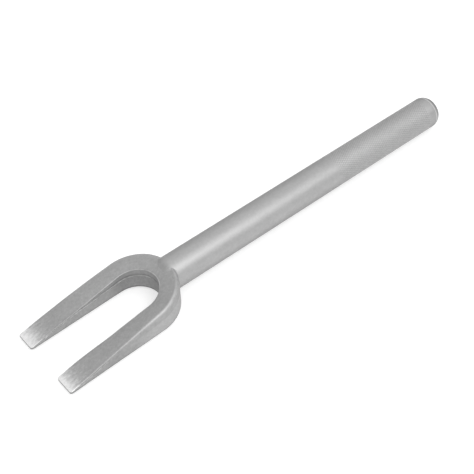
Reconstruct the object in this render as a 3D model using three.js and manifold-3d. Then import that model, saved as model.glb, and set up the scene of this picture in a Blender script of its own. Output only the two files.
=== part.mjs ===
// Ball joint separator: a drop-forged wedge fork on the end of a round, part-knurled steel bar.
// Millimetres. +X runs along the tool's axis and out of the struck end of the handle, +Z is up (the
// sloping side of the wedge), and the origin is the centre of the striking face.
import * as THREE from 'three';
import { mergeVertices } from 'three/addons/utils/BufferGeometryUtils.js';
import Module from 'manifold-3d';

const wasm = await Module();
wasm.setup();

// ---- Driving dimensions ----------------------------------------------------------------------
const TOOL_LENGTH = 300;
const FIT_GAP = 0.3; // clearance between pieces that touch on the real tool

// Fork, seen from above
const TINE_REACH = 61.6; // tine tips to the centre of the throat's arc
const BACK_RADIUS = 26; // outside of the round back
const TIP_HALF_WIDTH = 27.2; // axis to the outer corner of a tip
const THROAT_RADIUS = 14.7;
const MOUTH_HALF_WIDTH = 13.3; // axis to the inner corner of a tip
const TIP_CORNER = 1.5; // rounded corners of a tip

// Fork, seen from the side
const UNDERSIDE_Z = -9.05;
const BACK_TOP_Z = 9.05;
const TIP_THICKNESS = 1.3;
const BEVEL_LENGTH = 10.5; // ground chisel bevel on each tip
const BEVEL_ANGLE = THREE.MathUtils.degToRad(13.5);
const TOP_CROWN = 0.9; // how far the sloping top stands above the straight line under it
const PARTING_Z = -1;
const PARTING_LAND = 0.3; // narrow upright band along the parting line
const DRAFT_ANGLE = THREE.MathUtils.degToRad(3);

// Joint between fork and handle
const SPIGOT_RADIUS = 6;
const SPIGOT_LENGTH = 22; // past the fork's back
const SPIGOT_CHAMFER = 1;
const SOCKET_BOTTOM_ROOM = 2; // between the spigot's end and the bottom of its socket
const WELD_WIDTH = 1; // along the axis
const WELD_INNER_RADIUS = 7.6;

// Handle
const HANDLE_RADIUS = 10.35;
const END_CHAMFER_LENGTH = 3.5;
const END_CHAMFER_DEPTH = 1.85;

// Construction
const OVERCUT = 2; // how far a cutting shape runs past what it cuts
const BACK_SEGMENTS = 40;
const ROUND_SEGMENTS = 72;
const TOP_SEGMENTS = 10;

// ---- Derived places --------------------------------------------------------------------------
const tipX = -TOOL_LENGTH;
const throatX = tipX + TINE_REACH; // centre of the throat's arc and of the back's arc
const backX = throatX + BACK_RADIUS;

// ---- Solids ----------------------------------------------------------------------------------
function solidOf(geometry) {
  const bare = new THREE.BufferGeometry();
  bare.setAttribute('position', geometry.getAttribute('position'));
  bare.setIndex(geometry.index);
  const merged = mergeVertices(bare, 1e-4);
  return new wasm.Manifold(
    new wasm.Mesh({
      numProp: 3,
      vertProperties: merged.getAttribute('position').array,
      triVerts: new Uint32Array(merged.index.array),
    }),
  );
}

function geometryOf(solid) {
  const mesh = solid.getMesh();
  const geometry = new THREE.BufferGeometry();
  geometry.setAttribute('position', new THREE.BufferAttribute(mesh.vertProperties, 3));
  geometry.setIndex(new THREE.BufferAttribute(mesh.triVerts, 1));
  geometry.computeVertexNormals();
  return geometry;
}

// A body turned about the tool's axis, from points [x, radius] that start and end on the axis,
// given from its low-x end to its high-x end.
function turned(profile) {
  const points = profile.map(([x, radius]) => new THREE.Vector2(radius, x));
  const geometry = new THREE.LatheGeometry(points, ROUND_SEGMENTS);
  return solidOf(geometry.rotateZ(-Math.PI / 2));
}

// A plain round rod on the tool's axis.
function rod(startX, endX, radius) {
  return turned([
    [startX, 0],
    [startX, radius],
    [endX, radius],
    [endX, 0],
  ]);
}

// An upright round column on the centre of the throat's arc.
function backColumn(radius) {
  const height = 4 * HANDLE_RADIUS;
  const geometry = new THREE.CylinderGeometry(radius, radius, height, 4 * BACK_SEGMENTS);
  return solidOf(geometry.rotateX(Math.PI / 2).translate(throatX, 0, 0));
}

// Angle on a circle about the throat centre where the line to a tip corner touches it.
function tangentAngle(radius, tipHalfWidth) {
  const reach = Math.hypot(TINE_REACH, tipHalfWidth);
  return Math.atan2(tipHalfWidth, -TINE_REACH) - Math.acos(radius / reach);
}

// ---- Fork ------------------------------------------------------------------------------------
// The U seen from above, centred on the throat's arc.
function forkOutline() {
  const outer = tangentAngle(BACK_RADIUS, TIP_HALF_WIDTH);
  const inner = tangentAngle(THROAT_RADIUS, MOUTH_HALF_WIDTH);
  const shape = new THREE.Shape();
  const tip = -TINE_REACH - (PARTING_Z - UNDERSIDE_Z) * Math.tan(DRAFT_ANGLE);
  shape.moveTo(tip + TIP_CORNER, -TIP_HALF_WIDTH);
  shape.absarc(0, 0, BACK_RADIUS, -outer, outer, false);
  shape.lineTo(tip + TIP_CORNER, TIP_HALF_WIDTH);
  shape.quadraticCurveTo(tip, TIP_HALF_WIDTH, tip, TIP_HALF_WIDTH - TIP_CORNER);
  shape.lineTo(tip, MOUTH_HALF_WIDTH + TIP_CORNER);
  shape.quadraticCurveTo(tip, MOUTH_HALF_WIDTH, tip + TIP_CORNER, MOUTH_HALF_WIDTH);
  shape.absarc(0, 0, THROAT_RADIUS, inner, -inner, true);
  shape.lineTo(tip + TIP_CORNER, -MOUTH_HALF_WIDTH);
  shape.quadraticCurveTo(tip, -MOUTH_HALF_WIDTH, tip, -MOUTH_HALF_WIDTH - TIP_CORNER);
  shape.lineTo(tip, -TIP_HALF_WIDTH + TIP_CORNER);
  shape.quadraticCurveTo(tip, -TIP_HALF_WIDTH, tip + TIP_CORNER, -TIP_HALF_WIDTH);
  return shape;
}

// The U as a thick slab whose walls lean in, above and below the parting line, by the forging draft.
function draftedSlab() {
  const reach = HANDLE_RADIUS + OVERCUT;
  const lean = reach * Math.tan(DRAFT_ANGLE);
  const geometry = new THREE.ExtrudeGeometry(forkOutline(), {
    depth: PARTING_LAND,
    curveSegments: BACK_SEGMENTS,
    bevelEnabled: true,
    bevelSegments: 1,
    bevelThickness: reach,
    bevelSize: lean,
    bevelOffset: -lean,
  });
  return solidOf(geometry.translate(throatX, 0, PARTING_Z - PARTING_LAND / 2));
}

// The wedge seen from the side, as a prism across the whole fork: flat underside, crowned slope on
// top and a ground bevel down to the blunt tip.
function wedgePrism() {
  const endX = backX + OVERCUT;
  const tipTop = UNDERSIDE_Z + TIP_THICKNESS;
  const bevelX = tipX + BEVEL_LENGTH;
  const bevelTop = tipTop + BEVEL_LENGTH * Math.tan(BEVEL_ANGLE);
  const slope = (BACK_TOP_Z - bevelTop) / (backX - bevelX);
  const endTop = BACK_TOP_Z + slope * (endX - backX);
  const middleX = (bevelX + endX) / 2;
  const middleTop = (bevelTop + endTop) / 2 + 2 * TOP_CROWN;
  const side = new THREE.Shape();
  side.moveTo(tipX, UNDERSIDE_Z);
  side.lineTo(endX, UNDERSIDE_Z);
  side.lineTo(endX, endTop);
  side.quadraticCurveTo(middleX, middleTop, bevelX, bevelTop);
  side.lineTo(tipX, tipTop);
  const width = 3 * TIP_HALF_WIDTH;
  const geometry = new THREE.ExtrudeGeometry(side, {
    depth: width,
    curveSegments: TOP_SEGMENTS,
    bevelEnabled: false,
  });
  return solidOf(geometry.rotateX(Math.PI / 2).translate(0, width / 2, 0));
}

function spigot() {
  const endX = backX + SPIGOT_LENGTH;
  const rootX = backX - (BACK_RADIUS - THROAT_RADIUS) / 2;
  return turned([
    [rootX, 0],
    [rootX, SPIGOT_RADIUS],
    [endX - SPIGOT_CHAMFER, SPIGOT_RADIUS],
    [endX, SPIGOT_RADIUS - SPIGOT_CHAMFER],
    [endX, 0],
  ]);
}

function forkHead() {
  return draftedSlab().intersect(wedgePrism()).add(spigot());
}

// ---- Weld ------------------------------------------------------------------------------------
// The ring of weld metal between the fork's round back and the coped end of the handle.
function weldRing() {
  const endX = backX + WELD_WIDTH + OVERCUT;
  const ring = rod(throatX, endX, HANDLE_RADIUS);
  const hole = rod(throatX - OVERCUT, endX + OVERCUT, WELD_INNER_RADIUS);
  const inside = backColumn(BACK_RADIUS + FIT_GAP);
  const outside = backColumn(BACK_RADIUS + FIT_GAP + WELD_WIDTH);
  return ring.intersect(outside).subtract(inside).subtract(hole);
}

// ---- Handle ----------------------------------------------------------------------------------
// The round bar: coped and bored to take the fork at one end, chamfered for the hammer at the other.
function handleBar() {
  const socketX = backX + SPIGOT_LENGTH + SOCKET_BOTTOM_ROOM;
  const startX = throatX + BACK_RADIUS / 2;
  const bar = turned([
    [startX, 0],
    [startX, HANDLE_RADIUS],
    [-END_CHAMFER_LENGTH, HANDLE_RADIUS],
    [0, HANDLE_RADIUS - END_CHAMFER_DEPTH],
    [0, 0],
  ]);
  const socket = rod(startX - OVERCUT, socketX, SPIGOT_RADIUS + FIT_GAP);
  const cope = backColumn(BACK_RADIUS + WELD_WIDTH + 2 * FIT_GAP);
  return bar.subtract(cope).subtract(socket);
}

// ---- Assembly --------------------------------------------------------------------------------
function piece(name, solid, material) {
  const mesh = new THREE.Mesh(geometryOf(solid), material);
  mesh.name = name;
  return mesh;
}

const forgedSteel = new THREE.MeshStandardMaterial({ color: 0x9a9b9c, roughness: 0.5, metalness: 0.9 });
const weldSteel = new THREE.MeshStandardMaterial({ color: 0x8a8b8c, roughness: 0.55, metalness: 0.9 });
const turnedSteel = new THREE.MeshStandardMaterial({ color: 0xa9aaab, roughness: 0.38, metalness: 0.95 });

const separator = new THREE.Group();
separator.add(piece('fork_head', forkHead(), forgedSteel));
separator.add(piece('weld_ring', weldRing(), weldSteel));
separator.add(piece('handle_bar', handleBar(), turnedSteel));

export default separator;
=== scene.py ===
"""Ball joint separator: the looks of the fork, the weld and the knurled bar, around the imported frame.

Lengths are in metres in the row's frame: +X out of the struck end, tines towards -X, +Z up.
"""

import math

import bpy
import numpy as np
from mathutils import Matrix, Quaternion, Vector, noise


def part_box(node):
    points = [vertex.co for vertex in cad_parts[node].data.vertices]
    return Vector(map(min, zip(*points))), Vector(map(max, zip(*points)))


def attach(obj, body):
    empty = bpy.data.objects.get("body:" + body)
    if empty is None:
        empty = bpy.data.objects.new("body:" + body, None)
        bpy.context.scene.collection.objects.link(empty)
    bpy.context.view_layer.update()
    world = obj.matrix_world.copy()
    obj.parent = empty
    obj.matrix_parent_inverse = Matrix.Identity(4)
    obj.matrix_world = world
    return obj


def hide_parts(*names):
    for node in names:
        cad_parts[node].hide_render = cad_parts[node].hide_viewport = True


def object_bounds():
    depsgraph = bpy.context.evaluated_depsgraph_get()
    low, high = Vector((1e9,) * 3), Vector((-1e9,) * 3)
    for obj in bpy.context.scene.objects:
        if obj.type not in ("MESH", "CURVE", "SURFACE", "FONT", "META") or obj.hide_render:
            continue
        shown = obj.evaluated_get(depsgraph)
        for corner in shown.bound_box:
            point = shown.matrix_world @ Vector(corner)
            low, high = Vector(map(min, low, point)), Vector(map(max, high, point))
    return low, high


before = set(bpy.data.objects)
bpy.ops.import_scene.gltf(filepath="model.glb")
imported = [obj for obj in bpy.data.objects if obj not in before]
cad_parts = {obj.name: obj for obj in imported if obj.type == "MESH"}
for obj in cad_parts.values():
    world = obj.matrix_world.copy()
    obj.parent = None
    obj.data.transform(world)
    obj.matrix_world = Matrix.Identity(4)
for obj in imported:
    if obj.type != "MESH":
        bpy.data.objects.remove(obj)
cad_low, cad_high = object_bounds()
fork_low, fork_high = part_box("fork_head")
bar_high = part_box("handle_bar")[1]

MM = 0.001

# ---- Fork ------------------------------------------------------------------------------------
TIP_X = fork_low.x
UNDERSIDE_Z = fork_low.z
BACK_TOP_Z = fork_high.z
TINE_REACH = 61.6 * MM  # tine tips to the centre of the throat's arc
BACK_RADIUS = 26.0 * MM
THROAT_RADIUS = 14.7 * MM
TIP_HALF_WIDTH = 27.2 * MM
MOUTH_HALF_WIDTH = 13.3 * MM
TIP_CORNER = 1.5 * MM
TIP_THICKNESS = 1.3 * MM
TIP_EDGE_RADIUS = 0.4 * MM
BEVEL_LENGTH = 10.5 * MM
BEVEL_SLOPE = math.tan(math.radians(13.5))
TOP_CROWN = 0.9 * MM
OUTER_DRAFT = math.tan(math.radians(2.9))
INNER_DRAFT = math.tan(math.radians(0.7))
OUTER_TOP_EDGE = 0.9 * MM
BACK_TOP_EDGE = 1.7 * MM  # the same edge round the back
BACK_EDGE_GROWS = (-30 * MM, 8 * MM)  # from one to the other, along X from the throat's centre
INNER_TOP_EDGE = 0.6 * MM
BOTTOM_EDGE = 0.5 * MM
EDGE_LIMITS = (0.45, 0.35)  # most of the thickness that the top and the bottom edge may take
INNER_DROP = 1.2 * MM  # how much lower the top is at the throat than along the outside
INNER_DROP_GROWS = (0.0, 0.35)  # share of the way from the bevel to the back
INNER_DROP_POWER = 1.5
TOP_OUTSIDE = 23.95 * MM  # radius where the back's top face starts to round off
TOP_INSIDE = 15.4 * MM  # the same at the throat

throat_x = TIP_X + TINE_REACH
back_x = throat_x + BACK_RADIUS

# Parting line of the forging
PARTING_AT_THROAT = -0.2 * MM
PARTING_SLOPE = 0.088
PARTING_RIDGE = 0.28 * MM
PARTING_WIDTH = 0.32 * MM
PARTING_BAND = 0.9 * MM  # dense mesh to each side of the line
PARTING_CLEAR = 0.3 * MM  # always this far under the top edge
RIDGE_GROWS = (3 * MM, 9 * MM)  # back from the tips
OUTER_RIDGE = 0.6  # share of the ridge left on the outer wall
OUTER_RIDGE_FADES = (14 * MM, 34 * MM)  # back from the tips

# Forged unevenness
WAVE_SHIFT = (1.0, 2.3, 5.1)  # way through the noise that tells the seeds apart
BROAD_WAVE = {"size": 11 * MM, "depth": 0.07 * MM, "seed": 1.7}
FINE_WAVE = {"size": 4 * MM, "depth": 0.0245 * MM, "seed": 4.2}
WAVE_GROWS_BY_TIP = (1 * MM, 12 * MM)
WAVE_GROWS_BY_WELD = (9 * MM, 15 * MM)

# Masks: edge abrasion with a painted highlight, painted shade and light; distances along X are from the
# throat's centre
TRIM_WIDTH = 0.9  # of the trimmed flash, in widths of the parting line
PAINTED_SHADE_ABOVE = 2.6  # middle of the painted shade band over it, in the same widths
PAINTED_SHADE_WIDTH = 1.8
PAINTED_SHADE_GROWS = (-20 * MM, 0.0)
PAINTED_SHADE_AT_TIPS = 0.45
# Painted shade in the throat, and painted light on the outer wall near the back
INNER_SHADE, INNER_SHADE_GROWS = 1.0, (-10 * MM, 2 * MM)
OUTER_SHADE, OUTER_SHADE_GROWS = -1.25, (-30 * MM, 0.0)  # less than 0 is brighter: painted light
SHADE_BELOW, SHADE_ABOVE = 0.8, 0.3  # its strength under and over the parting line
BOTTOM_WEAR = 0.5
TOP_WEAR_AND_HIGHLIGHT_POWER = 0.7
PATCHY_MEAN = 0.75
PATCHY = {"size": 5 * MM, "depth": 0.6, "seed": 8.8}
DASHED_MEAN, DASHED_MOST = 0.8, 1.6
DASHED = {"size": 2.2 * MM, "depth": 1.6, "seed": 3.1}
# Edge abrasion with a painted highlight, growing from the tips to the back
EDGE_WEAR_AND_HIGHLIGHT_GROWS = (-38 * MM, 8 * MM)
EDGE_WEAR_AND_HIGHLIGHT_AT_TIPS = 0.15
ABRADED_AND_HIGHLIT_NEAR = (2.6, -22.0, 24.0)  # abrasion and painted highlight on the throat's edge: strength, place and spread in degrees
ABRADED_AND_HIGHLIT_FAR = (1.2, 35.0, 22.0)
ABRADED_AND_HIGHLIT_RING = 2 * MM  # out from the throat
PAINTED_LOW_SHADE_FADES = (1.4 * MM, 0.3 * MM)  # painted shade: heights above the underside, from none to full
FACES_DOWN = -0.9  # the underside itself takes no painted shade
POLISH_REACH = (6.4 * MM, 8.0 * MM)  # how far the ground shine fades back from the tips at -Y and +Y
POLISH_POWER = 1.3
FACES_UP = (0.5, 0.85)  # how upright a normal has to be for the shine

# Mesh steps
TIP_EDGE_STEPS = 7
TIP_CORNER_STEPS = 8
TINE_STEPS = 116
TURN_STEPS = 72
FLAT_STEPS = 14
BOTTOM_EDGE_STEPS = 7
TOP_EDGE_STEPS = 9
WALL_STEPS = (9, 13, 7)  # under, across and over the parting line's band

# ---- Handle ----------------------------------------------------------------------------------
END_X = bar_high.x
BAR_RADIUS = bar_high.z
END_CHAMFER_LENGTH = 4.2 * MM
END_CHAMFER_DEPTH = 1.85 * MM
END_CHAMFER_BULGE = 0.42 * MM
END_CHAMFER_STEPS = 17
BRIGHT_RIM = (0.4 * MM, 1.2 * MM)  # painted highlight ring, this far into the chamfer
# Painted shade over the chamfer from here on, and how dark
DARK_RIM_START = 2.0 * MM
DARK_RIM = 0.6
END_BAND = 0.05  # darkness of the plain band before the chamfer
FACE_RINGS = (0.985, 0.9, 0.7, 0.45, 0.2)  # shares of the struck face's radius
PLAIN_START = back_x + 1.5 * MM
PLAIN_STEPS = 64
BAND_STEPS = 9
COPE_RADIUS = 26.1 * MM
COPE_EDGE = 0.3 * MM
COPE_EDGE_STEPS = 5
COPE_LIP = 0.1 * MM  # narrow ring that keeps the rounded edge's shading off the bar
COPE_RINGS = (0.3, 0.8)  # shares of the bar's radius, on the coped face

KNURL_START = END_X - 90.0 * MM
KNURL_STOP = END_X - 8.5 * MM
KNURL_DEPTH = 0.19 * MM
KNURL_AROUND = 44  # diamonds
KNURL_ALONG = 32
KNURL_STEPS = 6  # mesh steps in one diamond's width and length
KNURL_FLAT = 0.66  # share of each tooth that is left flat
KNURL_RUN_IN = 4.0 * MM
KNURL_RUN_OUT = 1.2 * MM
BAR_SIDES = KNURL_AROUND * KNURL_STEPS

chamfer_x = END_X - END_CHAMFER_LENGTH

# ---- Weld ------------------------------------------------------------------------------------
WELD_SINK = 0.14 * MM
WELD_COVER = 0.008 * MM  # how thin the dressed weld runs out over the bar
WELD_FEATHER = 1.4 * MM  # how far it runs on under the bar's surface
FEATHER_TUCK = (0.5 * MM, 0.1 * MM)  # one more step along and down, out of sight
WELD_ROOT = 0.8  # share of the bar's radius where the section closes
WELD_ROOT_SPAN = (-1.8 * MM, 0.6 * MM)
WELD_STEPS = 25
LUMPS = ((0.08 * MM, 2.2 * MM), (0.04 * MM, 0.8 * MM))  # height and size
RAMP_START = 0.7 * MM  # on the bar, behind the fork's back
RAMP_FALL = 0.24  # share of the ramp that runs level before it falls
RAMP_REACH = 7.0 * MM  # in over the fork at the crown of the bar
SHORT_REACH = 2.0 * MM  # the same where the bar is level with the fork's top
RAMP_RISES = (BACK_TOP_Z - 2.2 * MM, BACK_TOP_Z - 0.4 * MM)  # out of the seam, by height on the bar
REACH_GROWS = (BACK_TOP_Z - 1.5 * MM, BAR_RADIUS)
RAMP_SINK = 0.04 * MM  # into the fork where the ramp ends
SEAM_REACH = 1.2 * MM  # into the seam, down the sides
UNDER_REACH = 2.5 * MM  # the same under the fork, which the bar hangs lower than
UNDER_GROWS = (-0.5 * MM, 0.3 * MM)  # by how far the bar hangs lower

# ---- Finishes --------------------------------------------------------------------------------
TEXTURES = {
    "mottle": {"size": 1.6 * MM, "detail": 4, "roughness": 0.7},
    "grain": {"size": 0.5 * MM, "roughness": 0.7},
    "forged_cloud": {"size": 9 * MM, "detail": 2},
    "turned_cloud": {"size": 6 * MM, "stretch": (0.6, 1, 1)},
    "turning_lines": {"size": 0.3 * MM, "stretch": (1, 0.06, 0.06)},
    "grinding_marks": {"size": 0.35 * MM, "stretch": (0.07, 1, 1)},
    "ragged": {"size": 1.2 * MM, "detail": 5, "roughness": 0.7, "stretch": (0.35, 1, 1)},
    "floor_cloud": {"size": 0.3, "detail": 2},
}

# Tone and roughness are a base and the weight of each texture or mask that is added to it. Bumps
# are laid over one another, each with its depth. A tone of 0 is black and 1 is white.
FORGED = {  # drop-forged and shot-blasted: grainy satin grey, abraded and painted with a highlight on its edges
    "tone": {"base": 0.195, "forged_cloud": 0.05, "mottle": 0.22, "grain": 0.10,
             # On the next line: edge abrasion with a painted highlight, the trimmed flash, painted shade
             # and light on the walls, painted shade near the underside
             "edge": 0.09, "trim": 0.24, "painted_shade_and_light": -0.09, "low": -0.12},
    "rough": {"base": 0.52, "mottle": 0.14, "trim": -0.12},
    "bumps": (({"mottle": 1.0, "grain": 0.6}, 0.09 * MM), ({"forged_cloud": 1.0}, 0.2 * MM)),
}
GROUND = {  # freshly ground: bright, with marks along the tine
    "tone": {"base": 0.52, "grinding_marks": 0.30, "mottle": 0.30},
    "rough": {"base": 0.34, "grinding_marks": 0.12},
    "bumps": (({"grinding_marks": 1.0}, 0.015 * MM),),
}
TURNED = {  # satin turned bar: faint turning lines, soft clouding, painted shade in the grooves, a painted highlight ring at the end
    "tone": {"base": 0.315, "turned_cloud": 0.06, "mottle": 0.16, "turning_lines": 0.03,
             # groove is painted shade; edge is a painted highlight ring on the chamfer
             "knurl": 0.03, "groove": -0.13, "edge": 0.2},
    "rough": {"base": 0.41, "mottle": 0.18, "turning_lines": 0.04},
    "bumps": (({"turning_lines": 1.0, "mottle": 1.0}, 0.02 * MM), ({"turned_cloud": 1.0}, 0.05 * MM)),
}
# What a blend goes by, and the values at which it starts and ends
FORGED_TO_GROUND = ({"polish": 1.0, "ragged": 1.0}, 0.5, 1.55)
TURNED_TO_FORGED = ({"toward_fork": 1.0, "mottle": 0.4}, 0.3, 0.95)

FORGED_EDGE_TINT = {"base": 0.65}  # steel seen edge-on
TURNED_EDGE_TINT = {"base": 0.42, "knurl": 0.48}
FLOOR_TONE = {"base": 0.6, "floor_cloud": 0.01}
FLOOR_ROUGH = 0.9
FLOOR_SHINE = 0.1
FLOOR_GLOW = 0.5

# ---- Stage -----------------------------------------------------------------------------------
FLOOR_HALF_SIZE = 6.0
WALLS_LIGHT = 0.6
CEILING_LIGHT = 1.02
CEILING_FROM = 0.7  # how high a direction points where the light stops growing
KEY_DIRECTION = (0.06, -0.6, 0.77)
KEY_DISTANCE = 2.0
KEY_SIZE = 1.1
KEY_POWER = 13.4

# The height and side that the tool is seen from
CAMERA_AZIMUTH = -35.04
CAMERA_ELEVATION = 44.75
CAMERA_ROLL = 6.07
CAMERA_DISTANCE = 584.8 * MM
CAMERA_AIM = Vector((-167.09, -4.04, 0.0)) * MM
CAMERA_LENS = 75.60


def smoothstep(low, high, value):
    t = np.clip((value - low) / (high - low), 0.0, 1.0)
    return t * t * (3.0 - 2.0 * t)


def new_piece(name, points, faces, smooth, material, replaced):
    """A visible piece in place of a CAD node."""
    mesh = bpy.data.meshes.new(name)
    mesh.from_pydata(points.tolist(), [], faces)
    mesh.polygons.foreach_set("use_smooth", smooth)
    mesh.validate()
    mesh.update()
    piece = bpy.data.objects.new(name, mesh)
    bpy.context.scene.collection.objects.link(piece)
    mesh.materials.append(material)
    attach(piece, "root")
    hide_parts(replaced)
    return piece


def set_mask(piece, name, values):
    mask = piece.data.attributes.new(name, "FLOAT", "POINT")
    mask.data.foreach_set("value", np.asarray(values, np.float32))


# ---- Materials -------------------------------------------------------------------------------
class Nodes:
    """Short helpers to wire one material's node tree."""

    def __init__(self, name):
        self.material = bpy.data.materials.new(name)
        self.material.use_nodes = True
        self.tree = self.material.node_tree
        self.surface = self.tree.nodes["Principled BSDF"]
        self.place = self.add("ShaderNodeTexCoord").outputs["Object"]
        self.sources = {}

    def add(self, kind, **settings):
        node = self.tree.nodes.new(kind)
        for key, value in settings.items():
            setattr(node, key, value)
        return node

    def plug(self, source, target):
        if isinstance(source, (int, float)):
            target.default_value = source
        else:
            self.tree.links.new(source, target)

    def noise(self, size, detail=3.0, roughness=0.55, stretch=(1, 1, 1)):
        """Noise from 0 to 1 with features about size metres across."""
        mapping = self.add("ShaderNodeMapping")
        self.plug(self.place, mapping.inputs["Vector"])
        mapping.inputs["Scale"].default_value = [share / size for share in stretch]
        texture = self.add("ShaderNodeTexNoise")
        self.plug(mapping.outputs["Vector"], texture.inputs["Vector"])
        texture.inputs["Scale"].default_value = 1.0
        texture.inputs["Detail"].default_value = detail
        texture.inputs["Roughness"].default_value = roughness
        return texture.outputs["Fac"]

    def source(self, name):
        """A texture by its name, or else the mask of that name on the mesh."""
        if name not in self.sources:
            if name in TEXTURES:
                self.sources[name] = self.noise(**TEXTURES[name])
            else:
                mask = self.add("ShaderNodeAttribute", attribute_name=name)
                self.sources[name] = mask.outputs["Fac"]
        return self.sources[name]

    def math(self, operation, a, b):
        node = self.add("ShaderNodeMath", operation=operation)
        self.plug(a, node.inputs[0])
        self.plug(b, node.inputs[1])
        return node.outputs[0]

    def weighed(self, weights):
        """The base plus every named texture or mask times its weight."""
        total = weights.get("base", 0.0)
        for name, weight in weights.items():
            if name != "base":
                total = self.math("ADD", total, self.math("MULTIPLY", self.source(name), weight))
        return total

    def ramp(self, weights, low, high):
        """0 up to low, 1 from high on."""
        node = self.add("ShaderNodeMapRange", interpolation_type="SMOOTHSTEP")
        self.plug(self.weighed(weights), node.inputs["Value"])
        node.inputs["From Min"].default_value = low
        node.inputs["From Max"].default_value = high
        return node.outputs["Result"]

    def finish(self, recipe):
        """A finish as (tone, roughness, normal)."""
        normal = None
        for heights, depth in recipe["bumps"]:
            normal = self.bump(self.weighed(heights), depth, normal)
        return self.weighed(recipe["tone"]), self.weighed(recipe["rough"]), normal

    def mixed(self, factor, first, second):
        """Two finishes mixed part by part."""
        parts = []
        for kind, low_input, output, a, b in zip(
                ("FLOAT", "FLOAT", "VECTOR"), (2, 2, 4), (0, 0, 1), first, second):
            node = self.add("ShaderNodeMix", data_type=kind)
            self.plug(factor, node.inputs[0])
            self.plug(a, node.inputs[low_input])
            self.plug(b, node.inputs[low_input + 1])
            parts.append(node.outputs[output])
        return parts

    def grey(self, value):
        """A neutral grey of that brightness, from 0 to 1."""
        node = self.add("ShaderNodeCombineColor")
        for channel in range(3):
            self.plug(value, node.inputs[channel])
        return node.outputs[0]

    def bump(self, height, depth, below=None):
        node = self.add("ShaderNodeBump")
        node.inputs["Strength"].default_value = 1.0
        node.inputs["Distance"].default_value = depth
        self.plug(height, node.inputs["Height"])
        if below is not None:
            self.plug(below, node.inputs["Normal"])
        return node.outputs["Normal"]


def steel(n, finish, edge_tint):
    """Wire a finish up as bare metal, with the tint it takes when seen edge-on."""
    tone, rough, normal = finish
    n.plug(n.grey(tone), n.surface.inputs["Base Color"])
    n.plug(rough, n.surface.inputs["Roughness"])
    n.plug(normal, n.surface.inputs["Normal"])
    n.surface.inputs["Metallic"].default_value = 1.0
    n.plug(n.grey(n.weighed(edge_tint)), n.surface.inputs["Specular Tint"])
    return n.material


def forged_steel():
    """The fork: forged all over, ground bright at the tips."""
    n = Nodes("forged_steel")
    blend = n.mixed(n.ramp(*FORGED_TO_GROUND), n.finish(FORGED), n.finish(GROUND))
    return steel(n, blend, FORGED_EDGE_TINT)


def turned_steel():
    """The bar, paler edge-on where it is knurled."""
    n = Nodes("turned_steel")
    return steel(n, n.finish(TURNED), TURNED_EDGE_TINT)


def weld_steel():
    """Weld metal dressed with its neighbours: the bar's finish at one side, the fork's at the other."""
    n = Nodes("weld_steel")
    blend = n.mixed(n.ramp(*TURNED_TO_FORGED), n.finish(TURNED), n.finish(FORGED))
    return steel(n, blend, FORGED_EDGE_TINT)


def floor_finish():
    n = Nodes("pale_floor")
    n.plug(n.grey(n.weighed(FLOOR_TONE)), n.surface.inputs["Base Color"])
    n.surface.inputs["Roughness"].default_value = FLOOR_ROUGH
    n.surface.inputs["Specular IOR Level"].default_value = FLOOR_SHINE
    n.surface.inputs["Emission Color"].default_value = (1.0, 1.0, 1.0, 1.0)
    n.surface.inputs["Emission Strength"].default_value = FLOOR_GLOW
    return n.material


# ---- Fork ------------------------------------------------------------------------------------
def tangent_point(radius, tip_half_width):
    """Angle and place where the line to a tip corner touches the circle round the throat's centre."""
    reach = math.hypot(TINE_REACH, tip_half_width)
    angle = math.atan2(tip_half_width, -TINE_REACH) - math.acos(radius / reach)
    return angle, np.array([radius * math.cos(angle), radius * math.sin(angle)])


def outline(radius, tip_half_width, along, turn):
    """Half of one wall seen from above: straight from the tip at +Y, then round to the back's middle."""
    angle, touch = tangent_point(radius, tip_half_width)
    tip = np.array([-TINE_REACH, tip_half_width])
    straight = tip + (touch - tip) * along[:, None]
    angles = angle * (1.0 - turn)
    arc = radius * np.stack([np.cos(angles), np.sin(angles)], axis=1)
    return np.concatenate([straight, arc])


def top_height(x, share):
    """Height of the wedge's upper face: crowned slope, then the ground bevel.

    x counts from the throat's centre; share runs from 0 at the outer edge to 1 at the inner edge.
    """
    start = -TINE_REACH + BEVEL_LENGTH
    start_z = UNDERSIDE_Z + TIP_THICKNESS + BEVEL_LENGTH * BEVEL_SLOPE
    t = (x - start) / (BACK_RADIUS - start)
    crowned = start_z + (BACK_TOP_Z - start_z) * t + 4.0 * TOP_CROWN * t * (1.0 - t)
    crowned = crowned - INNER_DROP * smoothstep(*INNER_DROP_GROWS, t) * share ** INNER_DROP_POWER
    bevel = start_z + (x - start) * BEVEL_SLOPE
    return np.where(x < start, bevel, crowned)


def tip_inset(distance, radius):
    """How far a rounded corner has drawn in, at a distance from the end face."""
    short = np.clip(radius - distance, 0.0, radius)
    return radius - np.sqrt(radius * radius - short * short)


def fork_stations():
    """Matching places along the outer and the inner wall, tip to tip, as seen from above."""
    near_tip = np.concatenate([
        TIP_EDGE_RADIUS * (1 - np.cos(np.linspace(0, math.pi / 2, TIP_EDGE_STEPS))),
        np.linspace(TIP_EDGE_RADIUS, TIP_CORNER, TIP_CORNER_STEPS)[1:],
        np.linspace(TIP_CORNER, TINE_REACH, TINE_STEPS)[1:],
    ])
    along = near_tip / TINE_REACH
    turn = np.linspace(0, 1, TURN_STEPS)[1:]
    outer = outline(BACK_RADIUS, TIP_HALF_WIDTH, along, turn)
    inner = outline(THROAT_RADIUS, MOUTH_HALF_WIDTH, along, turn)
    outer = np.concatenate([outer, outer[-2::-1] * [1, -1]])
    inner = np.concatenate([inner, inner[-2::-1] * [1, -1]])
    return outer, inner


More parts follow.
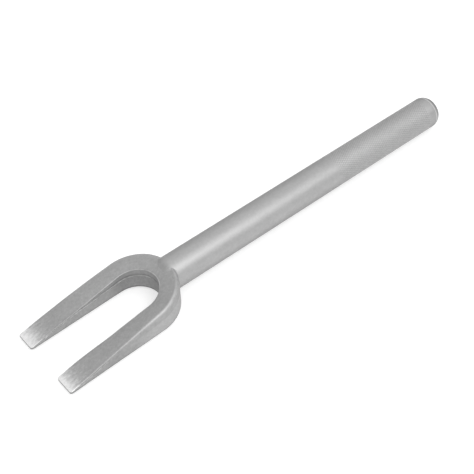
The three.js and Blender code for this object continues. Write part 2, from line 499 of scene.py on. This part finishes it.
class Wall:
    """One wall of the fork, with its rounded bottom and top edges, at every station."""

    def __init__(self, edge, toward, share, top_radius, draft, outer):
        self.edge, self.toward, self.draft = edge, toward, draft
        from_tip = edge[:, 0] + TINE_REACH
        self.corner = tip_inset(from_tip, TIP_CORNER)
        blunt = tip_inset(from_tip, TIP_EDGE_RADIUS)
        self.low = UNDERSIDE_Z + blunt
        self.high = top_height(edge[:, 0], share) - blunt
        thick = self.high - self.low
        self.top_radius = np.minimum(top_radius, EDGE_LIMITS[0] * thick)
        self.bottom_radius = np.minimum(BOTTOM_EDGE, EDGE_LIMITS[1] * thick)
        self.wall_low = self.low + self.bottom_radius
        self.wall_high = self.high - self.top_radius
        line = PARTING_AT_THROAT + PARTING_SLOPE * edge[:, 0]
        line_limit = np.maximum(self.wall_high - PARTING_CLEAR, self.wall_low)
        self.line = np.clip(line, self.wall_low, line_limit)
        self.ridge = PARTING_RIDGE * smoothstep(*RIDGE_GROWS, from_tip)
        self.shade_band_strength = PAINTED_SHADE_AT_TIPS + (1 - PAINTED_SHADE_AT_TIPS) * smoothstep(*PAINTED_SHADE_GROWS, edge[:, 0])
        self.shade = INNER_SHADE * smoothstep(*INNER_SHADE_GROWS, edge[:, 0])
        if outer:
            self.ridge *= OUTER_RIDGE * (1 - smoothstep(*OUTER_RIDGE_FADES, from_tip))
            self.shade = OUTER_SHADE * smoothstep(*OUTER_SHADE_GROWS, edge[:, 0])

    def inset(self, z):
        above = z - self.line
        crest = self.ridge * np.exp(-((above / PARTING_WIDTH) ** 2))
        return np.abs(above) * self.draft - crest

    def point(self, inset, z):
        xy = self.edge + self.toward * (inset + self.corner)[:, None]
        return np.column_stack([xy[:, 0] + throat_x, xy[:, 1], z])

    def heights(self):
        """Heights up the wall, close together by the parting line."""
        below = np.clip(self.line - PARTING_BAND, self.wall_low, self.wall_high)
        above = np.clip(self.line + PARTING_BAND, self.wall_low, self.wall_high)
        under, across, over = (np.linspace(0, 1, steps) for steps in WALL_STEPS)
        rows = [self.wall_low + (below - self.wall_low) * t for t in under[1:-1]]
        rows += [below + (above - below) * t for t in across]
        rows += [above + (self.wall_high - above) * t for t in over[1:-1]]
        return rows

    def row(self, inset, z, worn_and_highlit):
        """One line of points along the wall, with masks: edge abrasion with a painted highlight, trimmed
        flash, painted shade and light.
        """
        above = (z - self.line) / PARTING_WIDTH
        share = self.ridge / PARTING_RIDGE
        trim = np.exp(-((above / TRIM_WIDTH) ** 2)) * share
        # Painted shade in a band over the parting line, plus the throat's painted shade and the outer
        # wall's painted light
        painted_shade_and_light = np.exp(-(((above - PAINTED_SHADE_ABOVE) / PAINTED_SHADE_WIDTH) ** 2)) * share * self.shade_band_strength
        painted_shade_and_light = painted_shade_and_light + self.shade * np.where(above < 0, SHADE_BELOW, SHADE_ABOVE)
        return self.point(inset, z), worn_and_highlit, trim, painted_shade_and_light

    def rows(self):
        """Lines of points from the underside up to the top face."""
        rows = []
        for t in np.linspace(0, 1, BOTTOM_EDGE_STEPS):
            a = t * math.pi / 2
            inset = self.inset(self.wall_low) + self.bottom_radius * (1 - math.sin(a))
            z = self.low + self.bottom_radius * (1 - math.cos(a))
            rows.append(self.row(inset, z, BOTTOM_WEAR * math.sin(math.pi * t)))
        rows += [self.row(self.inset(z), z, 0.0) for z in self.heights()]
        for t in np.linspace(0, 1, TOP_EDGE_STEPS):
            a = t * math.pi / 2
            inset = self.inset(self.wall_high) + self.top_radius * (1 - math.cos(a))
            z = self.high - self.top_radius * (1 - math.sin(a))
            rows.append(self.row(inset, z, math.sin(math.pi * t) ** TOP_WEAR_AND_HIGHLIGHT_POWER))
        return rows


def fork_sections():
    """Points of the fork as a grid, stations round the U by places round its section, and masks."""
    outer, inner = fork_stations()
    across = outer - inner
    across /= np.linalg.norm(across, axis=1)[:, None]
    grows = smoothstep(*BACK_EDGE_GROWS, outer[:, 0])
    outer_top = OUTER_TOP_EDGE + (BACK_TOP_EDGE - OUTER_TOP_EDGE) * grows
    outside = Wall(outer, -across, 0.0, outer_top, OUTER_DRAFT, outer=True).rows()
    inside = Wall(inner, across, 1.0, INNER_TOP_EDGE, INNER_DRAFT, outer=False).rows()
    blunt = tip_inset(outer[:, 0] + TINE_REACH, TIP_EDGE_RADIUS)
    loop = list(outside)
    for t in np.linspace(0, 1, FLAT_STEPS + 1)[1:-1]:
        point = outside[-1][0] * (1 - t) + inside[-1][0] * t
        point[:, 2] = top_height(point[:, 0] - throat_x, t) - blunt
        loop.append((point, 0.0, 0.0, 0.0))
    loop += inside[::-1]
    for t in np.linspace(0, 1, FLAT_STEPS + 1)[1:-1]:
        loop.append((inside[0][0] * (1 - t) + outside[0][0] * t, 0.0, 0.0, 0.0))
    stations = len(outer)
    grid = np.stack([row[0] for row in loop], axis=1)
    masks = [np.stack([np.broadcast_to(row[k], stations) for row in loop], axis=1) for k in (1, 2, 3)]
    return grid, masks


def wave(points, size, depth, seed):
    """A slow unevenness of a surface, the same on every run."""
    shift = Vector([seed * share for share in WAVE_SHIFT])
    return np.array([depth * noise.noise(Vector(p) / size + shift) for p in points])


def vertex_normals(grid):
    along = np.gradient(grid, axis=0)
    around = np.roll(grid, -1, axis=1) - np.roll(grid, 1, axis=1)
    normal = np.cross(around, along)
    return normal / np.maximum(np.linalg.norm(normal, axis=2, keepdims=True), 1e-12)


def abrasion_and_highlight(from_throat, spot):
    """Extra abrasion and a painted highlight at one side of the throat's edge."""
    strength, place, spread = spot
    turn = np.degrees(np.arctan2(from_throat[:, 1], from_throat[:, 0]))
    near = np.linalg.norm(from_throat, axis=1) < THROAT_RADIUS + ABRADED_AND_HIGHLIT_RING
    return near * strength * np.exp(-(((turn - place) / spread) ** 2))


def make_fork(material):
    grid, (edge, trim, painted_shade_and_light) = fork_sections()
    stations, places, _ = grid.shape
    flat = grid.reshape(-1, 3)
    outward = vertex_normals(grid).reshape(-1, 3)
    push = wave(flat, **BROAD_WAVE) + wave(flat, **FINE_WAVE)
    from_tip = flat[:, 0] - TIP_X
    from_weld = np.hypot(flat[:, 0] - back_x, flat[:, 1])
    push = push * smoothstep(*WAVE_GROWS_BY_TIP, from_tip) * smoothstep(*WAVE_GROWS_BY_WELD, from_weld)
    points = flat + outward * push[:, None]
    points[:, 2] = np.clip(points[:, 2], UNDERSIDE_Z, BACK_TOP_Z)
    faces = []
    for s in range(stations - 1):
        for k in range(places):
            a, b = s * places + k, s * places + (k + 1) % places
            faces.append((a, b, b + places, a + places))
    faces.append(tuple(reversed(range(places))))
    faces.append(tuple((stations - 1) * places + k for k in range(places)))
    smooth = [True] * (len(faces) - 2) + [False] * 2
    fork = new_piece("fork", points, faces, smooth, material, "fork_head")
    patchy = PATCHY_MEAN + wave(points, **PATCHY)
    dashed = np.clip(DASHED_MEAN + wave(points, **DASHED), 0.0, DASHED_MOST)
    from_throat = points[:, :2] - [throat_x, 0.0]
    backward = smoothstep(*EDGE_WEAR_AND_HIGHLIGHT_GROWS, from_throat[:, 0])
    abraded_and_highlit = abrasion_and_highlight(from_throat, ABRADED_AND_HIGHLIT_NEAR) + abrasion_and_highlight(from_throat, ABRADED_AND_HIGHLIT_FAR) * dashed
    painted_low_shade = smoothstep(*PAINTED_LOW_SHADE_FADES, points[:, 2] - UNDERSIDE_Z) * (outward[:, 2] > FACES_DOWN)
    reach = np.where(points[:, 1] < 0, *POLISH_REACH)
    polish = np.exp(-((from_tip / reach) ** POLISH_POWER)) * smoothstep(*FACES_UP, outward[:, 2])
    # Edge abrasion with a painted highlight, strongest at the back and at two spots on the throat's edge
    edge_wear_and_highlight = EDGE_WEAR_AND_HIGHLIGHT_AT_TIPS + (1 - EDGE_WEAR_AND_HIGHLIGHT_AT_TIPS) * backward + abraded_and_highlit
    set_mask(fork, "edge", edge.ravel() * patchy * edge_wear_and_highlight)
    # Painted shade, darker towards the bottom edges
    set_mask(fork, "low", painted_low_shade)
    set_mask(fork, "trim", trim.ravel() * patchy * dashed)
    # Painted shade and light on the walls
    set_mask(fork, "painted_shade_and_light", painted_shade_and_light.ravel())
    set_mask(fork, "polish", polish)


# ---- Weld ------------------------------------------------------------------------------------
def fork_top_at(x, y):
    """Height of the fork's upper face under a point of the plan, its rounded outer edge included."""
    radius = math.hypot(x - throat_x, y)
    share = min(max((TOP_OUTSIDE - radius) / (TOP_OUTSIDE - TOP_INSIDE), 0.0), 1.0)
    beyond = min(max(radius - TOP_OUTSIDE, 0.0), BACK_TOP_EDGE)
    round_off = BACK_TOP_EDGE - math.sqrt(BACK_TOP_EDGE ** 2 - beyond ** 2)
    return min(float(top_height(x - throat_x, share)), BACK_TOP_Z) - round_off


def weld_section(angle):
    """The weld's outline at one angle round the bar: a ramp on top, sunk in the seam elsewhere."""
    out = Vector((0.0, math.sin(angle), math.cos(angle)))
    on_bar = out * BAR_RADIUS
    seam_x = throat_x + math.sqrt(BACK_RADIUS ** 2 - on_bar.y ** 2)
    seam = Vector((seam_x, on_bar.y, on_bar.z))
    sunk = seam - out * WELD_SINK
    ramp = float(smoothstep(*RAMP_RISES, on_bar.z))
    reach = SHORT_REACH + (RAMP_REACH - SHORT_REACH) * float(smoothstep(*REACH_GROWS, on_bar.z))
    under = float(smoothstep(*UNDER_GROWS, UNDERSIDE_Z - on_bar.z))
    depth = SEAM_REACH + (UNDER_REACH - SEAM_REACH) * under
    start = Vector((RAMP_START, 0, 0))
    bar_end = (sunk + start).lerp(seam + start + out * WELD_COVER, ramp)
    fork_end = (sunk - Vector((depth, 0, 0))).lerp(seam - Vector((reach, 0, 0)), ramp)
    lump = sum(height * noise.noise(seam / size) for height, size in LUMPS)
    feather = bar_end + Vector((WELD_FEATHER, 0, 0)) - out * 2 * WELD_COVER
    points = [feather + Vector((FEATHER_TUCK[0], 0, 0)) - out * FEATHER_TUCK[1], feather]
    for t in np.linspace(0, 1, WELD_STEPS):
        point = bar_end.lerp(fork_end, t)
        fall = float(smoothstep(RAMP_FALL, 1.0, t))
        on_top = fork_top_at(point.x, point.y) - RAMP_SINK
        landing = sunk.z + (on_top - sunk.z) * ramp
        landing += (UNDERSIDE_Z + RAMP_SINK - landing) * under
        point.z = bar_end.z + (landing - bar_end.z) * fall
        points.append(point + out * (lump * 4 * fall * (1 - fall)))
    root = out * (WELD_ROOT * BAR_RADIUS)
    return points + [Vector((seam_x + offset, root.y, root.z)) for offset in WELD_ROOT_SPAN]


def make_weld(material):
    """The weld metal between the fork's back and the bar, with as many sides as the bar."""
    sections = [weld_section(2 * math.pi * i / BAR_SIDES) for i in range(BAR_SIDES)]
    ring = len(sections[0])
    hidden = ring - 3  # the faces from here on close the section inside the seam
    faces, smooth = [], []
    for i in range(BAR_SIDES):
        for k in range(ring):
            a, b = i * ring + k, i * ring + (k + 1) % ring
            c, d = (i + 1) % BAR_SIDES * ring + k, (i + 1) % BAR_SIDES * ring + (k + 1) % ring
            faces.append((a, c, d, b))
            smooth.append(k < hidden)
    points = np.array([tuple(p) for section in sections for p in section])
    weld = new_piece("weld_bead", points, faces, smooth, material, "weld_ring")
    set_mask(weld, "toward_fork", np.tile(np.clip(np.arange(ring) / hidden, 0, 1), BAR_SIDES))


# ---- Handle ----------------------------------------------------------------------------------
def saw(value):
    """1 in a groove, 0 on a crest."""
    return 1.0 - 2.0 * np.abs(value - np.floor(value) - 0.5)


def knurl_cut(along, around):
    """Depth share of the diamond pattern, with along and around counted in diamonds."""
    cut = np.maximum(saw(along + around), saw(along - around))
    return np.clip((cut - KNURL_FLAT) / (1.0 - KNURL_FLAT), 0.0, 1.0)


def bar_rings():
    """Rings from the coped front to the centre of the struck face: (kind, place, radius)."""
    rings = [("cope", 0.0, share * BAR_RADIUS) for share in COPE_RINGS]
    for a in np.linspace(0, math.pi / 2, COPE_EDGE_STEPS):
        rings.append(("cope", COPE_EDGE * (1 - math.cos(a)), BAR_RADIUS - COPE_EDGE * (1 - math.sin(a))))
    rings.append(("cope", COPE_EDGE + COPE_LIP, BAR_RADIUS))
    rings += [("plain", x, BAR_RADIUS) for x in np.linspace(PLAIN_START, KNURL_START, PLAIN_STEPS)[:-1]]
    knurl_rings = KNURL_ALONG * KNURL_STEPS + 1
    rings += [("knurl", x, BAR_RADIUS) for x in np.linspace(KNURL_START, KNURL_STOP, knurl_rings)]
    rings += [("band", x, BAR_RADIUS) for x in np.linspace(KNURL_STOP, chamfer_x, BAND_STEPS)[1:-1]]
    for t in np.linspace(0, 1, END_CHAMFER_STEPS):
        radius = BAR_RADIUS - END_CHAMFER_DEPTH * t + END_CHAMFER_BULGE * math.sin(math.pi * t)
        rings.append(("end", chamfer_x + END_CHAMFER_LENGTH * t, radius))
    face_radius = BAR_RADIUS - END_CHAMFER_DEPTH
    rings += [("face", END_X, face_radius * share) for share in FACE_RINGS]
    return rings


def bar_ring(kind, x, radius):
    """One ring's points, with three masks: darkness (painted shade in the grooves and on the chamfer's
    rim, and the end band), knurl, and a painted highlight ring.
    """
    turn = np.arange(BAR_SIDES)
    radii = np.full(BAR_SIDES, radius)
    groove = np.zeros(BAR_SIDES)
    knurled = 0.0
    into_chamfer = x - chamfer_x
    if kind == "knurl":
        knurled = smoothstep(0, KNURL_RUN_IN, x - KNURL_START)
        knurled *= smoothstep(0, KNURL_RUN_OUT, KNURL_STOP - x)
        along = (x - KNURL_START) / (KNURL_STOP - KNURL_START) * KNURL_ALONG
        # The groove's depth share cuts the radius and also paints shade into the grooves
        groove = knurl_cut(along, turn / KNURL_STEPS) * knurled
        radii = radii - KNURL_DEPTH * groove
    if kind == "band":
        groove = np.full(BAR_SIDES, END_BAND)
    # painted shade over the chamfer's outer part
    if kind == "end" and into_chamfer > DARK_RIM_START:
        groove = np.full(BAR_SIDES, DARK_RIM)
    # painted highlight ring
    bright = kind == "end" and BRIGHT_RIM[0] < into_chamfer < BRIGHT_RIM[1]
    angles = 2 * math.pi * turn / BAR_SIDES
    y, z = -radii * np.sin(angles), radii * np.cos(angles)
    xs = throat_x + np.sqrt(COPE_RADIUS ** 2 - y * y) + x if kind == "cope" else np.full(BAR_SIDES, x)
    masks = groove, np.full(BAR_SIDES, knurled), np.full(BAR_SIDES, float(bright))
    return np.stack([xs, y, z], axis=1), *masks


def make_bar(material):
    rings = bar_rings()
    parts = [bar_ring(*ring) for ring in rings]
    points, groove, knurl, edge = (np.concatenate([part[k] for part in parts]) for k in range(4))
    first_knurl = next(i for i, ring in enumerate(rings) if ring[0] == "knurl")
    faces = []
    for i in range(len(rings) - 1):
        in_knurl = rings[i][0] == rings[i + 1][0] == "knurl"
        for k in range(BAR_SIDES):
            a, b = i * BAR_SIDES + k, i * BAR_SIDES + (k + 1) % BAR_SIDES
            c, d = a + BAR_SIDES, b + BAR_SIDES
            along, around = (i - first_knurl + 0.5) / KNURL_STEPS, (k + 0.5) / KNURL_STEPS
            if not in_knurl:
                faces.append((a, b, d, c))
            elif saw(along + around) > saw(along - around):  # each diagonal follows its groove
                faces += [(a, b, c), (b, d, c)]
            else:
                faces += [(a, b, d), (a, d, c)]
    smooth = [True] * len(faces) + [False] * 2
    faces.append(tuple(reversed(range(BAR_SIDES))))
    last = (len(rings) - 1) * BAR_SIDES
    faces.append(tuple(last + k for k in range(BAR_SIDES)))
    bar = new_piece("handle", points, faces, smooth, material, "handle_bar")
    # Painted shade in the grooves and on the chamfer's rim
    set_mask(bar, "groove", groove)
    set_mask(bar, "knurl", knurl)
    # painted highlight ring on the chamfer
    set_mask(bar, "edge", edge)


# ---- Stage -----------------------------------------------------------------------------------
def make_floor():
    mesh = bpy.data.meshes.new("floor")
    signs = ((-1, -1), (1, -1), (1, 1), (-1, 1))
    corners = [(FLOOR_HALF_SIZE * x, FLOOR_HALF_SIZE * y, cad_low.z) for x, y in signs]
    mesh.from_pydata(corners, [], [(0, 1, 2, 3)])
    floor = bpy.data.objects.new("floor", mesh)
    bpy.context.scene.collection.objects.link(floor)
    mesh.materials.append(floor_finish())


def key_light():
    """A square soft light, facing the tool."""
    data = bpy.data.lights.new("key", "AREA")
    data.size = KEY_SIZE
    data.energy = KEY_POWER
    light = bpy.data.objects.new("key", data)
    toward = Vector(KEY_DIRECTION).normalized()
    light.location = (cad_low + cad_high) / 2 + toward * KEY_DISTANCE
    light.rotation_mode = "QUATERNION"
    light.rotation_quaternion = toward.to_track_quat("Z", "Y")
    bpy.context.scene.collection.objects.link(light)


def room_light():
    """Even light from all round, dimmer towards the horizon, over a plain white backdrop."""
    world = bpy.data.worlds.new("soft_room")
    world.use_nodes = True
    nodes, links = world.node_tree.nodes, world.node_tree.links
    upward = nodes.new("ShaderNodeSeparateXYZ")
    links.new(nodes.new("ShaderNodeTexCoord").outputs["Generated"], upward.inputs[0])
    fade = nodes.new("ShaderNodeMapRange")
    links.new(upward.outputs["Z"], fade.inputs["Value"])
    fade.inputs["From Max"].default_value = CEILING_FROM
    fade.inputs["To Min"].default_value = WALLS_LIGHT
    fade.inputs["To Max"].default_value = CEILING_LIGHT
    backdrop = nodes.new("ShaderNodeMath")
    backdrop.operation = "MAXIMUM"
    links.new(fade.outputs["Result"], backdrop.inputs[0])
    links.new(nodes.new("ShaderNodeLightPath").outputs["Is Camera Ray"], backdrop.inputs[1])
    links.new(backdrop.outputs[0], nodes["Background"].inputs["Strength"])
    nodes["Background"].inputs["Color"].default_value = (1.0, 1.0, 1.0, 1.0)
    bpy.context.scene.world = world


def make_camera():
    data = bpy.data.cameras.new("camera")
    data.lens = CAMERA_LENS
    camera = bpy.data.objects.new("camera", data)
    bpy.context.scene.collection.objects.link(camera)
    azimuth, elevation = math.radians(CAMERA_AZIMUTH), math.radians(CAMERA_ELEVATION)
    level = math.cos(elevation)
    back = Vector((math.sin(azimuth) * level, -math.cos(azimuth) * level, math.sin(elevation)))
    camera.location = CAMERA_AIM + back * CAMERA_DISTANCE
    camera.rotation_mode = "QUATERNION"
    roll = Quaternion((0, 0, 1), -math.radians(CAMERA_ROLL))
    camera.rotation_quaternion = (-back).to_track_quat("-Z", "Y") @ roll
    bpy.context.scene.camera = camera


make_fork(forged_steel())
make_weld(weld_steel())
make_bar(turned_steel())
make_floor()
key_light()
room_light()
make_camera()
bpy.context.scene.view_settings.view_transform = "Standard"

bpy.context.view_layer.update()
